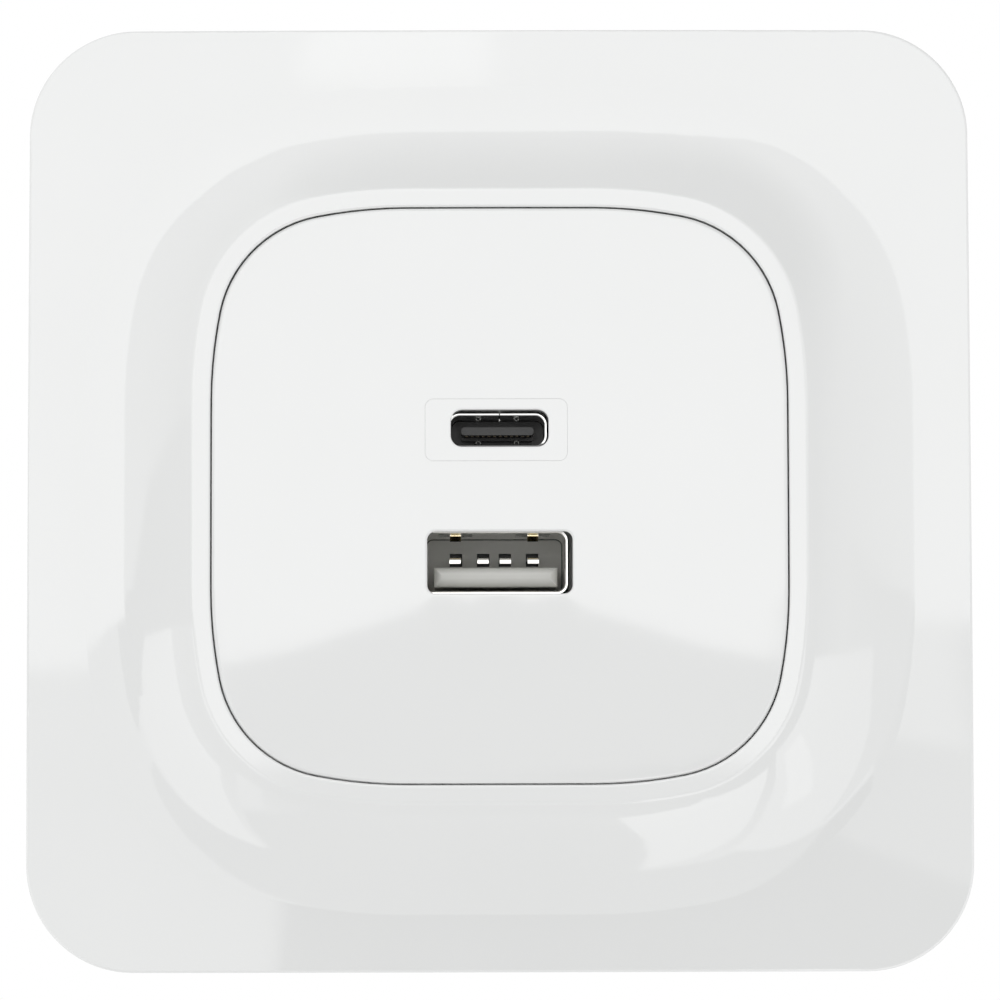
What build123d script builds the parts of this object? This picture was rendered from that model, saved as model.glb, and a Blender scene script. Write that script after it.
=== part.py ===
"""USB wall socket: a white frame and centre plate over a flush charger with a USB-C and a USB-A port."""

import math
import os

from build123d import *

os.makedirs("parts", exist_ok=True)

# Sizes in millimetres. Heights are counted from the wall plane, forward is positive.

# Centre plate outline: straight middles, wide shoulders and tighter corners
PLATE_SIDE = 51.1
PLATE_GAP = 0.13
SHOULDER_START = 8.3
SHOULDER_RADIUS = 42.0
SHOULDER_ANGLE = 11.0
SHOULDER_TURN = math.radians(SHOULDER_ANGLE)
PLATE_CORNER = SHOULDER_RADIUS - (SHOULDER_RADIUS - PLATE_SIDE / 2 + SHOULDER_START) / (
    math.cos(SHOULDER_TURN) - math.sin(SHOULDER_TURN)
)
SHOULDER_CENTRE = PLATE_SIDE / 2 - SHOULDER_RADIUS
CORNER_CENTRE = SHOULDER_CENTRE + (SHOULDER_RADIUS - PLATE_CORNER) * math.cos(SHOULDER_TURN)

# Frame
FRAME_SIDE = 85.0
FRAME_CORNER = 9.6
FRAME_WALL = 2.0
FRAME_EDGE_ROUND = 0.25
RIM_HEIGHT = 10.0
RIM_WIDTH = 1.65
RIM_ROUND = 0.5
RIM_INNER_ROUND = 0.2
COVE_RUN = 10.0
COVE_RISE = 4.7
FIELD_ANGLE = 3.0
COLLAR_WALL = 1.9
LEDGE_TOP = 6.4
LEDGE_THICK = 1.8
LEDGE_REACH = 1.8
FIELD_SLOPE = math.tan(math.radians(FIELD_ANGLE))
COVE_FOOT = RIM_WIDTH + COVE_RUN
COVE_FOOT_HEIGHT = RIM_HEIGHT - COVE_RISE
SECTION_REACH = FRAME_SIDE / 2 * math.sqrt(2) - PLATE_SIDE / 2
FIELD_END_HEIGHT = COVE_FOOT_HEIGHT - (SECTION_REACH - COVE_FOOT) * FIELD_SLOPE
LEDGE_BOTTOM = LEDGE_TOP - LEDGE_THICK

# Centre plate
DOME_RADIUS = 450.0
DOME_PROUD = 0.85
PLATE_SKIN = 1.3
PLATE_SKIRT = 1.6
PLATE_EDGE_ROUND = 0.35
SEAT_GAP = 0.05
PORT_PITCH = 11.9
PORTS_DROP = 0.1
PORT_WIDTH = 12.85
PORT_HEIGHT = 5.5
PORT_CORNER = 0.75
PORT_EDGE_ROUND = 0.2
PORT_LIP = 1.05
PORT_POCKET_MARGIN = 1.0
DOME_TOP = RIM_HEIGHT + DOME_PROUD
PLATE_INSIDE = RIM_HEIGHT - PLATE_SKIN
USB_C_AT = PORT_PITCH / 2 - PORTS_DROP
USB_A_AT = -PORT_PITCH / 2 - PORTS_DROP
LIP_BACK = DOME_TOP - PORT_LIP

# Insert that fills the upper opening round the USB-C port, a little off its middle
INSERT_WIDTH = 12.6
INSERT_HEIGHT = 5.5
INSERT_CORNER = 0.75
INSERT_SHIFT = -0.3
INSERT_DROP = 0.15
INSERT_GAP = 0.005
INSERT_FLANGE = 0.7
INSERT_FLANGE_THICK = 0.9
INSERT_LIP = 1.0
INSERT_SLEEVE = 2.2
INSERT_EDGE_ROUND = 0.03
USB_C_HOLE_ROUND = 0.12
USB_C_HOLE_WIDTH = 8.65
USB_C_HOLE_HEIGHT = 3.28
USB_C_HOLE_CORNER = 1.0
INSERT_AT = (INSERT_SHIFT, USB_C_AT - INSERT_DROP)

# Receptacles, seated a little left of their openings and a little low
USB_A_SHIFT = -0.5
USB_A_DROP = -0.06
USB_C_SHIFT = -0.2
USB_C_DROP = 0.12
RECEPTACLE_GAP = 0.12
SHELL_FRONT = LIP_BACK - RECEPTACLE_GAP
BOARD_FRONT = -5.0
BOARD_THICK = 1.6
BOARD_BACK = BOARD_FRONT - BOARD_THICK
USB_A_LEVEL = USB_A_AT - USB_A_DROP
USB_A_SEAT = (USB_A_SHIFT, USB_A_LEVEL)
USB_C_LEVEL = USB_C_AT - USB_C_DROP
USB_C_SEAT = (USB_C_SHIFT, USB_C_LEVEL)

# USB-A receptacle
USB_A_INNER_WIDTH = 12.5
USB_A_INNER_HEIGHT = 5.12
SHEET = 0.25
USB_A_MOUTH_ROUND = 0.22
USB_A_SHELL_CORNER = 0.9
FIT_GAP = 0.05
TONGUE_WIDTH = 11.0
TONGUE_SHIFT = 0.12
TONGUE_THICK = 1.74
TONGUE_LIFT = 0.4
TONGUE_SETBACK = 0.9
USB_A_BASE_DEPTH = 2.28
TONGUE_ROUND = 0.75
WINDOW_WIDTH = 1.15
WINDOW_HEIGHT = 1.2
WINDOW_LIFT = 0.5
WINDOW_DEPTH = 1.8
CONTACT_WIDTH = 1.0
CONTACT_THICK = 0.25
CONTACT_SETBACK = 2.0
CONTACT_LIFT = 0.85
CONTACT_LIP_DROP = 0.45
CONTACT_LIP_LEAN = 0.08
CONTACT_BEND = 0.2
CONTACT_OUTER = 3.5
CONTACT_INNER = 1.0
FINGER_AT = 3.45
FINGER_WIDTH = 1.0
FINGER_SLOT = 1.0
FINGER_LENGTH = 5.6
FINGER_START = 1.6
FINGER_BEND = 0.6
FINGER_BEND_BELOW = 0.2
FINGER_CREST = 4.2
FINGER_TIP_SHARE = 0.25
TONGUE_FRONT = SHELL_FRONT - TONGUE_SETBACK
TONGUE_BACK = BOARD_FRONT + USB_A_BASE_DEPTH
TONGUE_LENGTH = TONGUE_FRONT - TONGUE_BACK
TONGUE_LOW = USB_A_LEVEL - USB_A_INNER_HEIGHT / 2 + TONGUE_LIFT
TONGUE_HIGH = TONGUE_LOW + TONGUE_THICK
WINDOW_AT = TONGUE_HIGH + WINDOW_LIFT + WINDOW_HEIGHT / 2

# USB-C receptacle
USB_C_INNER_WIDTH = 8.34
USB_C_INNER_HEIGHT = 2.56
USB_C_SHEET = 0.2
USB_C_MOUTH_ROUND = 0.12
USB_C_SHELL_CORNER = 1.0
USB_C_SHELL_LENGTH = 8.6
USB_C_SEAM = 0.1
USB_C_SEAM_SHIFT = 0.2
USB_C_SEAM_LENGTH = 6.0
USB_C_DIMPLE_AT = 1.7
USB_C_DIMPLE_RADIUS = 0.32
USB_C_DIMPLE_BORE = 0.18
USB_C_DIMPLE_DEPTH = 0.15
USB_C_DIMPLE_SETBACK = 0.9
USB_C_BASE_MARGIN = 0.45
USB_C_TONGUE_WIDTH = 6.45
USB_C_TONGUE_THICK = 0.7
USB_C_TONGUE_CORNER = 0.28
USB_C_TONGUE_SETBACK = 1.1
USB_C_TONGUE_LENGTH = 4.6
USB_C_STEP_THICK = 1.3
USB_C_STEP_LENGTH = 1.4
USB_C_STRIP_COUNT = 12
USB_C_STRIP_PITCH = 0.5
USB_C_STRIP_WIDTH = 0.26
USB_C_STRIP_THICK = 0.03
USB_C_STRIP_LENGTH = 2.2
USB_C_OUTER_WIDTH = USB_C_INNER_WIDTH + 2 * USB_C_SHEET
USB_C_OUTER_HEIGHT = USB_C_INNER_HEIGHT + 2 * USB_C_SHEET
USB_C_SHELL_BACK = SHELL_FRONT - USB_C_SHELL_LENGTH
USB_C_TONGUE_FRONT = SHELL_FRONT - USB_C_TONGUE_SETBACK
USB_C_TONGUE_BACK = USB_C_TONGUE_FRONT - USB_C_TONGUE_LENGTH

# Steel yoke
YOKE_SIDE = 71.0
YOKE_THICK = 1.2
YOKE_CORNER_CUT = 10.0
BOX_SPACING = 60.0
BOX_HOLE = 1.9
LEVEL_SLOT_SWING = 12.0

# Charger module
TOWER_SIDE = 30.0
TOWER_WALL = 1.6
TOWER_TOP = 6.0
TOWER_CORNER = 2.5
YOKE_CLEARANCE = 0.4
SHELL_CLEARANCE = 0.2
MODULE_CORNER = 5.0
MODULE_WALL = 1.8
MODULE_EDGE_ROUND = 1.4
LID_THICK = 2.4
HOUSING_BACK = -24.0
SCREW_INSET = 3.9
SCREW_RADIUS = 1.25
SCREW_HEAD_RADIUS = 2.2
SCREW_HEAD_HEIGHT = 1.5
SCREW_HEAD_ROUND = 0.6
SCREW_LENGTH = 14.0
CROSS_LENGTH = 2.6
CROSS_WIDTH = 0.6
CROSS_DEPTH = 0.75
BOSS_RADIUS = 2.6
PAD_SIDE = 2.6
PAD_INSET = 3.0
PAD_AT_Z = 9.0
RIB_AT = 12.5
RIB_WIDTH = 1.6
RIB_DEPTH = 1.2
BOARD_GAP = 0.5
BOARD_CUT = 8.0
LID_BACK = -LID_THICK

# Snap legs of the centre plate
LEG_GAP = 0.15
LEG_THICK = 1.4
LEG_WIDTH = 8.0
LEG_CLEARANCE = 0.4
HOOK_DEPTH = 0.9
HOOK_HEIGHT = 1.2
HOOK_SLOT_GAP = 0.25
LEG_END = YOKE_THICK + LEG_CLEARANCE

# Mains terminal block
BLOCK_WIDTH = 17.2
BLOCK_HEIGHT = 13.0
BLOCK_MARGIN = 0.3
BLOCK_WALL = 0.8
BLOCK_EDGE_ROUND = 0.5
BLOCK_FACE = 4.0
BLOCK_PROUD = 0.3
POLE_AT = 3.9
POLE_WIDTH = 6.0
WIRE_RADIUS = 1.55
WIRE_MARGIN = 0.5
WIRE_FUNNEL = 0.6
BUTTON_WIDTH = 2.9
BUTTON_HEIGHT = 2.7
BUTTON_GAP = 0.15
BUTTON_MARGIN = 0.6
BUTTON_PROUD = 0.9
BUTTON_GROOVE_WIDTH = 0.55
BUTTON_GROOVE_DEPTH = 0.3
BUTTON_FLANGE = 0.6
BUTTON_FLANGE_THICK = 1.0
BAR_THICK = 0.8
BAR_WIDTH = 4.0
PIN_WIDTH = 1.0
PIN_CLEARANCE = 0.15
PIN_SHORT = 0.1
SPRING_THICK = 0.35
SPRING_WIDTH = 4.0
SPRING_BEND = 1.1
SPRING_ANGLE = 40.0
SPRING_TIP_GAP = 0.9
SPRING_FLOOR_GAP = 0.2
NOSE_GAP = 0.15
STOP_GAP = 0.05

# Power parts on the board
PART_GAP = 0.7
SIDE_GAP = 1.7
TOP_MARGIN = 3.8
CORE_LENGTH = 16.0
CORE_WIDTH = 13.6
CORE_THICK = 4.8
CORE_LEG = 2.0
CORE_MIDDLE = 4.0
CORE_BACK = 2.2
BOBBIN_WALL = 0.6
BOBBIN_FLANGE = 0.8
WINDING_HEIGHT = 10.4
WINDING_ROUND = 1.0
COIL_LIFT = 0.6
INPUT_CAP_RADIUS = 4.0
INPUT_CAP_LENGTH = 12.0
OUTPUT_CAP_RADIUS = 3.15
OUTPUT_CAP_LENGTH = 8.5
OUTPUT_CAPS_MIDDLE = 7.3
CAP_GROOVE_AT = 1.6
CAP_GROOVE = 0.3
FILM_CAP_SIZE = (4.6, 11.6, 10.0)
CHOKE_RADIUS = 3.4
CHOKE_CORE_RADIUS = 1.4
CHOKE_LENGTH = 8.0
CHOKE_FLANGE = 1.2
FUSE_RADIUS = 1.8
FUSE_LENGTH = 9.0
FUSE_CAP = 2.0
FUSE_GAP = 2.2
DISC_RADIUS = 3.6
DISC_THICK = 3.4
DISC_ROUND = 1.2
DISC_GAP = 2.3
SWITCH_CHIP_SIZE = (5.0, 3.9, 1.5)
SWITCH_CHIP_INSET = 0.25
BRIDGE_SIZE = (4.4, 6.2, 2.3)
BRIDGE_AT = (-10.6, 5.6)
COUPLER_SIZE = (4.4, 4.6, 2.0)
COUPLER_AT = (-10.6, -6.0)
CONTROLLER_SIZE = (4.6, 4.6, 0.9)
CONTROLLER_AT = (10.4, 0.0)
FILM_CAP_BEVEL = 0.4
CHIP_BEVEL = 0.2

# Board and housing: as large as the terminal block, the output capacitors and the transformer in a row need
BOARD_SIDE = BLOCK_MARGIN + BLOCK_HEIGHT + 2 * PART_GAP + 2 * OUTPUT_CAP_RADIUS + CORE_WIDTH + TOP_MARGIN
HOUSING_INSIDE = BOARD_SIDE + 2 * BOARD_GAP
MODULE_SIDE = HOUSING_INSIDE + 2 * MODULE_WALL
HOUSING_FLOOR = HOUSING_BACK + MODULE_WALL
SCREW_AT = MODULE_SIDE / 2 - SCREW_INSET
PAD_AT_X = BOARD_SIDE / 2 - PAD_INSET

# Terminal block places
BLOCK_LOW = BLOCK_MARGIN - BOARD_SIDE / 2
BLOCK_HIGH = BLOCK_LOW + BLOCK_HEIGHT
BLOCK_BACK = HOUSING_BACK - BLOCK_PROUD
CAVITY_BACK = BLOCK_BACK + BLOCK_FACE
CAVITY_LOW = BLOCK_LOW + BLOCK_WALL
CAVITY_HIGH = BLOCK_HIGH - BLOCK_WALL
BAR_LOW = CAVITY_HIGH - BAR_THICK
WIRE_AT = BAR_LOW - WIRE_RADIUS - WIRE_MARGIN
BUTTON_AT = WIRE_AT - WIRE_RADIUS - BUTTON_MARGIN - BUTTON_HEIGHT / 2 - BUTTON_GAP
SPRING_LEG = CAVITY_LOW + SPRING_THICK / 2
SPRING_TURN = math.radians(SPRING_ANGLE)
SPRING_BEND_HEIGHT = CAVITY_BACK + SPRING_FLOOR_GAP + SPRING_BEND + SPRING_THICK / 2
SPRING_RAMP = SPRING_LEG + SPRING_BEND + SPRING_BEND * math.sin(SPRING_TURN)
SPRING_RAMP_HEIGHT = SPRING_BEND_HEIGHT - SPRING_BEND * math.cos(SPRING_TURN)
SPRING_RAMP_LENGTH = (BAR_LOW - SPRING_TIP_GAP - SPRING_RAMP) / math.cos(SPRING_TURN)

# Power part centres: rows upward from the terminal block, columns from the board's left edge
CAP_COLUMN = SIDE_GAP + INPUT_CAP_RADIUS - BOARD_SIDE / 2
FILM_COLUMN = CAP_COLUMN + INPUT_CAP_RADIUS + SIDE_GAP + FILM_CAP_SIZE[0] / 2
COIL_COLUMN = FILM_COLUMN + FILM_CAP_SIZE[0] / 2 + SIDE_GAP + CORE_LENGTH / 2
CAP_ROW = BLOCK_HIGH + PART_GAP + OUTPUT_CAP_RADIUS
COIL_ROW = CAP_ROW + OUTPUT_CAP_RADIUS + PART_GAP + CORE_WIDTH / 2
TRANSFORMER_AT = (COIL_COLUMN, COIL_ROW)
INPUT_CAP_STEP = INPUT_CAP_RADIUS + PART_GAP / 2
INPUT_CAPS_AT = [(CAP_COLUMN, BLOCK_HIGH + SIDE_GAP + n * INPUT_CAP_STEP) for n in (1, 3)]
OUTPUT_CAPS_AT = [(OUTPUT_CAPS_MIDDLE + s * (OUTPUT_CAP_RADIUS + PART_GAP / 2), CAP_ROW) for s in (-1, 1)]
CHOKE_AT = (FILM_COLUMN, BLOCK_HIGH + PART_GAP + CHOKE_RADIUS)
FILM_CAP_AT = (FILM_COLUMN, CHOKE_AT[1] + CHOKE_RADIUS + PART_GAP + FILM_CAP_SIZE[1] / 2)
SWITCH_CHIP_AT = (FILM_COLUMN, BOARD_SIDE / 2 - SWITCH_CHIP_INSET - SWITCH_CHIP_SIZE[1] / 2)
FUSE_AT = (-BLOCK_WIDTH / 2 - FUSE_GAP - FUSE_RADIUS, BLOCK_HIGH - FUSE_LENGTH / 2)
DISC_AT = (BLOCK_WIDTH / 2 + DISC_GAP + DISC_THICK / 2, BLOCK_HIGH - DISC_RADIUS)


def at_height(height):
    """Plane parallel to the wall, x to the right, y up, facing forward."""
    return Plane.XZ.offset(height)


def side_plane(x):
    """Plane square to the wall whose x runs up and whose y runs forward."""
    return Plane(origin=(x, 0, 0), x_dir=(0, 0, 1), z_dir=(1, 0, 0))


def spun(x, y, quarter):
    """A point turned by so many quarter turns about the middle."""
    return [(x, y), (-y, x), (-x, -y), (y, -x)][quarter]


def soft_square_lines(grow):
    """The centre plate's outline, grown outward, starting in the middle of the right side."""
    half = PLATE_SIDE / 2 + grow
    for quarter in range(4):
        turn = 90 * quarter
        Line(spun(half, 0, quarter), spun(half, SHOULDER_START, quarter))
        CenterArc(
            spun(SHOULDER_CENTRE, SHOULDER_START, quarter),
            SHOULDER_RADIUS + grow,
            turn,
            SHOULDER_ANGLE,
        )
        CenterArc(
            spun(CORNER_CENTRE, CORNER_CENTRE, quarter),
            PLATE_CORNER + grow,
            turn + SHOULDER_ANGLE,
            90 - 2 * SHOULDER_ANGLE,
        )
        CenterArc(
            spun(SHOULDER_START, SHOULDER_CENTRE, quarter),
            SHOULDER_RADIUS + grow,
            turn + 90 - SHOULDER_ANGLE,
            SHOULDER_ANGLE,
        )
        Line(spun(SHOULDER_START, half, quarter), spun(0, half, quarter))


def soft_square(height, grow):
    """Face of the plate's outline at a height."""
    with BuildSketch(at_height(height)) as face:
        with BuildLine():
            soft_square_lines(grow)
        make_face()
    return face.sketch


def port_outlines(margin):
    """The openings for the USB-A port and for the insert, grown by a margin."""
    with Locations((0, USB_A_AT)):
        RectangleRounded(PORT_WIDTH + 2 * margin, PORT_HEIGHT + 2 * margin, PORT_CORNER + margin)
    grow = INSERT_GAP + margin
    with Locations(INSERT_AT):
        RectangleRounded(INSERT_WIDTH + 2 * grow, INSERT_HEIGHT + 2 * grow, INSERT_CORNER + grow)


def dome_openings(builder):
    """Wires of the openings in a piece's domed face, lowest first."""
    return builder.faces().filter_by(GeomType.SPHERE)[0].inner_wires().sort_by(Axis.Z)


def usb_a_outline(grow, mode=Mode.ADD):
    """Outline of the USB-A shell, grown outward."""
    width = USB_A_INNER_WIDTH + 2 * SHEET + 2 * grow
    height = USB_A_INNER_HEIGHT + 2 * SHEET + 2 * grow
    return RectangleRounded(width, height, USB_A_SHELL_CORNER + grow, mode=mode)


def usb_c_outline(grow, mode=Mode.ADD):
    """Outline of the USB-C shell, grown outward."""
    width = USB_C_OUTER_WIDTH + 2 * grow
    height = USB_C_OUTER_HEIGHT + 2 * grow
    return RectangleRounded(width, height, USB_C_SHELL_CORNER + grow, mode=mode)


def finish_part(builder, name):
    """Name a finished piece and write it out."""
    builder.part.label = name
    export_step(builder.part, f"parts/{name}.step")


RIM_SECTION = Plane(origin=(PLATE_SIDE / 2 + PLATE_GAP, 0, 0), x_dir=(1, 0, 0), z_dir=(0, 0, -1))
DOME_CENTRE = (0, DOME_RADIUS - DOME_TOP, 0)

# Frame: the hollow behind its skin
with BuildPart() as frame_hollow:
    with BuildLine(Plane.XZ) as hollow_path:
        soft_square_lines(PLATE_GAP)
    with BuildSketch(RIM_SECTION):
        with BuildLine():
            field_out = (SECTION_REACH, FIELD_END_HEIGHT - FRAME_WALL)
            field = Line(field_out, (COVE_FOOT, COVE_FOOT_HEIGHT - FRAME_WALL))
            collar_top = (COLLAR_WALL, RIM_HEIGHT - FRAME_WALL - RIM_ROUND)
            cove = TangentArc(field @ 1, collar_top, tangent=field % 1)
            Polyline(cove @ 1, (COLLAR_WALL, -FRAME_WALL), (SECTION_REACH, -FRAME_WALL), field_out)
        make_face()
    sweep(path=hollow_path.wire())
    with BuildSketch(at_height(-FRAME_WALL)):
        inside = FRAME_SIDE - 2 * FRAME_WALL
        RectangleRounded(inside, inside, FRAME_CORNER - FRAME_WALL)
    extrude(amount=RIM_HEIGHT + 2 * FRAME_WALL, mode=Mode.INTERSECT)

# Frame: one section carried round the plate's outline and trimmed to the outer square
with BuildPart() as frame:
    with BuildLine(Plane.XZ) as rim_path:
        soft_square_lines(PLATE_GAP)
    with BuildSketch(RIM_SECTION) as rim_section:
        with BuildLine():
            field_out = (SECTION_REACH, FIELD_END_HEIGHT)
            field = Line(field_out, (COVE_FOOT, COVE_FOOT_HEIGHT))
            cove = TangentArc(field @ 1, (RIM_WIDTH, RIM_HEIGHT), tangent=field % 1)
            Polyline(
                cove @ 1,
                (0, RIM_HEIGHT),
                (0, LEDGE_TOP),
                (-LEDGE_REACH, LEDGE_TOP),
                (-LEDGE_REACH, LEDGE_BOTTOM),
                (COLLAR_WALL, LEDGE_BOTTOM),
                (COLLAR_WALL, 0),
                (SECTION_REACH, 0),
                field_out,
            )
        make_face()
        fillet(rim_section.vertices().sort_by_distance((RIM_WIDTH, RIM_HEIGHT))[0], RIM_ROUND)
        fillet(rim_section.vertices().sort_by_distance((0, RIM_HEIGHT))[0], RIM_INNER_ROUND)
    sweep(path=rim_path.wire())
    with BuildSketch(at_height(0)):
        RectangleRounded(FRAME_SIDE, FRAME_SIDE, FRAME_CORNER)
    extrude(amount=RIM_HEIGHT + FRAME_WALL, mode=Mode.INTERSECT)
    outer_reach = FRAME_SIDE / 2 - FRAME_CORNER / 2
    outer_faces = [f for f in frame.faces() if max(abs(f.center().X), abs(f.center().Z)) > outer_reach]
    side_edges = [e for f in outer_faces if abs(f.normal_at().Y) < 1e-6 for e in f.edges()]
    fillet(
        [e for e in side_edges if e.center().Y < -FRAME_WALL and abs(e.tangent_at(0.5).Y) < 0.5],
        FRAME_EDGE_ROUND,
    )
    add(frame_hollow.part, mode=Mode.SUBTRACT)
finish_part(frame, "frame")

# Centre plate: domed, hollow behind, with two snap legs
with BuildPart() as centre_plate:
    extrude(soft_square(LEDGE_TOP + SEAT_GAP, 0), amount=RIM_HEIGHT)
    with Locations(DOME_CENTRE):
        Sphere(DOME_RADIUS, mode=Mode.INTERSECT)
    fillet(centre_plate.faces().filter_by(GeomType.SPHERE)[0].outer_wire().edges(), PLATE_EDGE_ROUND)
    extrude(soft_square(0, -PLATE_SKIRT), amount=PLATE_INSIDE, mode=Mode.SUBTRACT)
    with BuildSketch(at_height(0)):
        port_outlines(0)
    extrude(amount=DOME_TOP + PORT_LIP, mode=Mode.SUBTRACT)
    fillet(dome_openings(centre_plate)[0].edges(), PORT_EDGE_ROUND)
    fillet(dome_openings(centre_plate)[-1].edges(), INSERT_EDGE_ROUND)
    with BuildSketch(at_height(0)):
        port_outlines(PORT_POCKET_MARGIN)
    extrude(amount=LIP_BACK, mode=Mode.SUBTRACT)
    with BuildSketch(Plane(origin=(0, 0, LEG_WIDTH / 2), x_dir=(1, 0, 0), z_dir=(0, 0, -1))):
        for side in (1, -1):
            leg_in = side * (TOWER_SIDE / 2 + LEG_GAP)
            leg_out = side * (TOWER_SIDE / 2 + LEG_GAP + LEG_THICK)
            hook_in = side * (TOWER_SIDE / 2 + LEG_GAP - HOOK_DEPTH)
            with BuildLine():
                Polyline(
                    (leg_in, PLATE_INSIDE),
                    (leg_out, PLATE_INSIDE),
                    (leg_out, LEG_END),
                    (leg_in, LEG_END),
                    (hook_in, LEG_END + HOOK_HEIGHT / 2),
                    (hook_in, LEG_END + HOOK_HEIGHT),
                    (leg_in, LEG_END + HOOK_HEIGHT),
                    close=True,
                )
            make_face()
    extrude(amount=LEG_WIDTH)
finish_part(centre_plate, "centre_plate")

# Insert round the USB-C port, level with the plate
with BuildPart() as usb_c_insert:
    with BuildSketch(at_height(LIP_BACK - INSERT_SLEEVE)):
        with Locations(INSERT_AT):
            RectangleRounded(INSERT_WIDTH, INSERT_HEIGHT, INSERT_CORNER)
    extrude(amount=INSERT_SLEEVE + 2 * PORT_LIP)
    with Locations(DOME_CENTRE):
        Sphere(DOME_RADIUS, mode=Mode.INTERSECT)
    fillet(usb_c_insert.faces().filter_by(GeomType.SPHERE)[0].outer_wire().edges(), INSERT_EDGE_ROUND)
    with BuildSketch(at_height(LIP_BACK - INSERT_FLANGE_THICK)):
        with Locations(INSERT_AT):
            RectangleRounded(
                INSERT_WIDTH + 2 * INSERT_FLANGE,
                INSERT_HEIGHT + 2 * INSERT_FLANGE,
                INSERT_CORNER + INSERT_FLANGE,
            )
    extrude(amount=INSERT_FLANGE_THICK)
    with BuildSketch(at_height(0)):
        with Locations((0, USB_C_AT)):
            RectangleRounded(USB_C_HOLE_WIDTH, USB_C_HOLE_HEIGHT, USB_C_HOLE_CORNER)
    extrude(amount=DOME_TOP + PORT_LIP, mode=Mode.SUBTRACT)
    fillet(dome_openings(usb_c_insert)[0].edges(), USB_C_HOLE_ROUND)
    with BuildSketch(at_height(0)):
        with Locations(USB_C_SEAT):
            usb_c_outline(SHELL_CLEARANCE)
    extrude(amount=DOME_TOP - INSERT_LIP, mode=Mode.SUBTRACT)
finish_part(usb_c_insert, "usb_c_insert")

# USB-A shell: folded sheet with two spring fingers above and two below
with BuildPart() as usb_a_shell:
    with BuildSketch(at_height(BOARD_FRONT)):
        with Locations(USB_A_SEAT):
            usb_a_outline(0)
            usb_a_outline(-SHEET, Mode.SUBTRACT)
    extrude(amount=SHELL_FRONT - BOARD_FRONT)
    usb_a_mouth = usb_a_shell.faces().sort_by(Axis.Y)[0]
    fillet(usb_a_mouth.inner_wires()[0].edges(), USB_A_MOUTH_ROUND)
    finger_front = SHELL_FRONT - FINGER_START
    finger_back = finger_front - FINGER_LENGTH
    with BuildSketch(Plane.XY.offset(USB_A_LEVEL - USB_A_INNER_HEIGHT)):
        with Locations(*[(USB_A_SHIFT + s * FINGER_AT, -(finger_front + finger_back) / 2) for s in (1, -1)]):
            Rectangle(FINGER_WIDTH + 2 * FINGER_SLOT, FINGER_LENGTH)
    extrude(amount=2 * USB_A_INNER_HEIGHT, mode=Mode.SUBTRACT)
    for across in (1, -1):
        with BuildSketch(side_plane(USB_A_SHIFT + across * FINGER_AT - FINGER_WIDTH / 2)):
            for up, bend in ((1, FINGER_BEND), (-1, FINGER_BEND_BELOW)):
                wall_in = USB_A_LEVEL + up * USB_A_INNER_HEIGHT / 2
                wall_out = wall_in + up * SHEET
                with BuildLine():
                    Polyline(
                        (wall_in, finger_back - SHEET),
                        (wall_out, finger_back - SHEET),
                        (wall_out, finger_back),
                        (wall_out - up * bend, finger_back + FINGER_CREST),
                        (wall_out - up * bend * FINGER_TIP_SHARE, finger_front - 2 * SHEET),
                        (wall_in - up * bend * FINGER_TIP_SHARE, finger_front - 2 * SHEET),
                        (wall_in - up * bend, finger_back + FINGER_CREST),
                        (wall_in, finger_back),
                        close=True,
                    )
                make_face()
        extrude(amount=FINGER_WIDTH)
finish_part(usb_a_shell, "usb_a_shell")

# USB-A insulator: base, tongue and four contact windows
CONTACTS_AT = [USB_A_SHIFT + x for x in (-CONTACT_OUTER, -CONTACT_INNER, CONTACT_INNER, CONTACT_OUTER)]
with BuildPart() as usb_a_insulator:
    with BuildSketch(at_height(BOARD_FRONT)):
        with Locations(USB_A_SEAT):
            usb_a_outline(-SHEET - FIT_GAP)
    extrude(amount=TONGUE_BACK - BOARD_FRONT)
    with BuildSketch(at_height(TONGUE_BACK)):
        with Locations((USB_A_SHIFT + TONGUE_SHIFT, (TONGUE_LOW + TONGUE_HIGH) / 2)):
            Rectangle(TONGUE_WIDTH, TONGUE_THICK)
    extrude(amount=TONGUE_LENGTH)
    fillet(usb_a_insulator.faces().sort_by(Axis.Y)[0].edges(), TONGUE_ROUND)
    with BuildSketch(at_height(TONGUE_BACK - WINDOW_DEPTH)):
        with Locations(*[(x, WINDOW_AT) for x in CONTACTS_AT]):
            Rectangle(WINDOW_WIDTH, WINDOW_HEIGHT)
    extrude(amount=WINDOW_DEPTH, mode=Mode.SUBTRACT)
finish_part(usb_a_insulator, "usb_a_insulator")

# USB-A contacts: flat springs that leave the windows and end in a lip turned down to the tongue
with BuildPart() as usb_a_contacts:
    for x in CONTACTS_AT:
        with BuildLine(side_plane(x)) as contact_path:
            lip_front = TONGUE_FRONT - CONTACT_SETBACK
            FilletPolyline(
                (WINDOW_AT, TONGUE_BACK - WINDOW_DEPTH),
                (WINDOW_AT, TONGUE_BACK),
                (TONGUE_HIGH + CONTACT_LIFT, lip_front - CONTACT_LIP_LEAN),
                (TONGUE_HIGH + CONTACT_LIFT - CONTACT_LIP_DROP, lip_front),
                radius=CONTACT_BEND,
            )
        with BuildSketch(at_height(TONGUE_BACK - WINDOW_DEPTH)):
            with Locations((x, WINDOW_AT)):
                Rectangle(CONTACT_WIDTH, CONTACT_THICK)
        sweep(path=contact_path.wire())
finish_part(usb_a_contacts, "usb_a_contacts")

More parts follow.
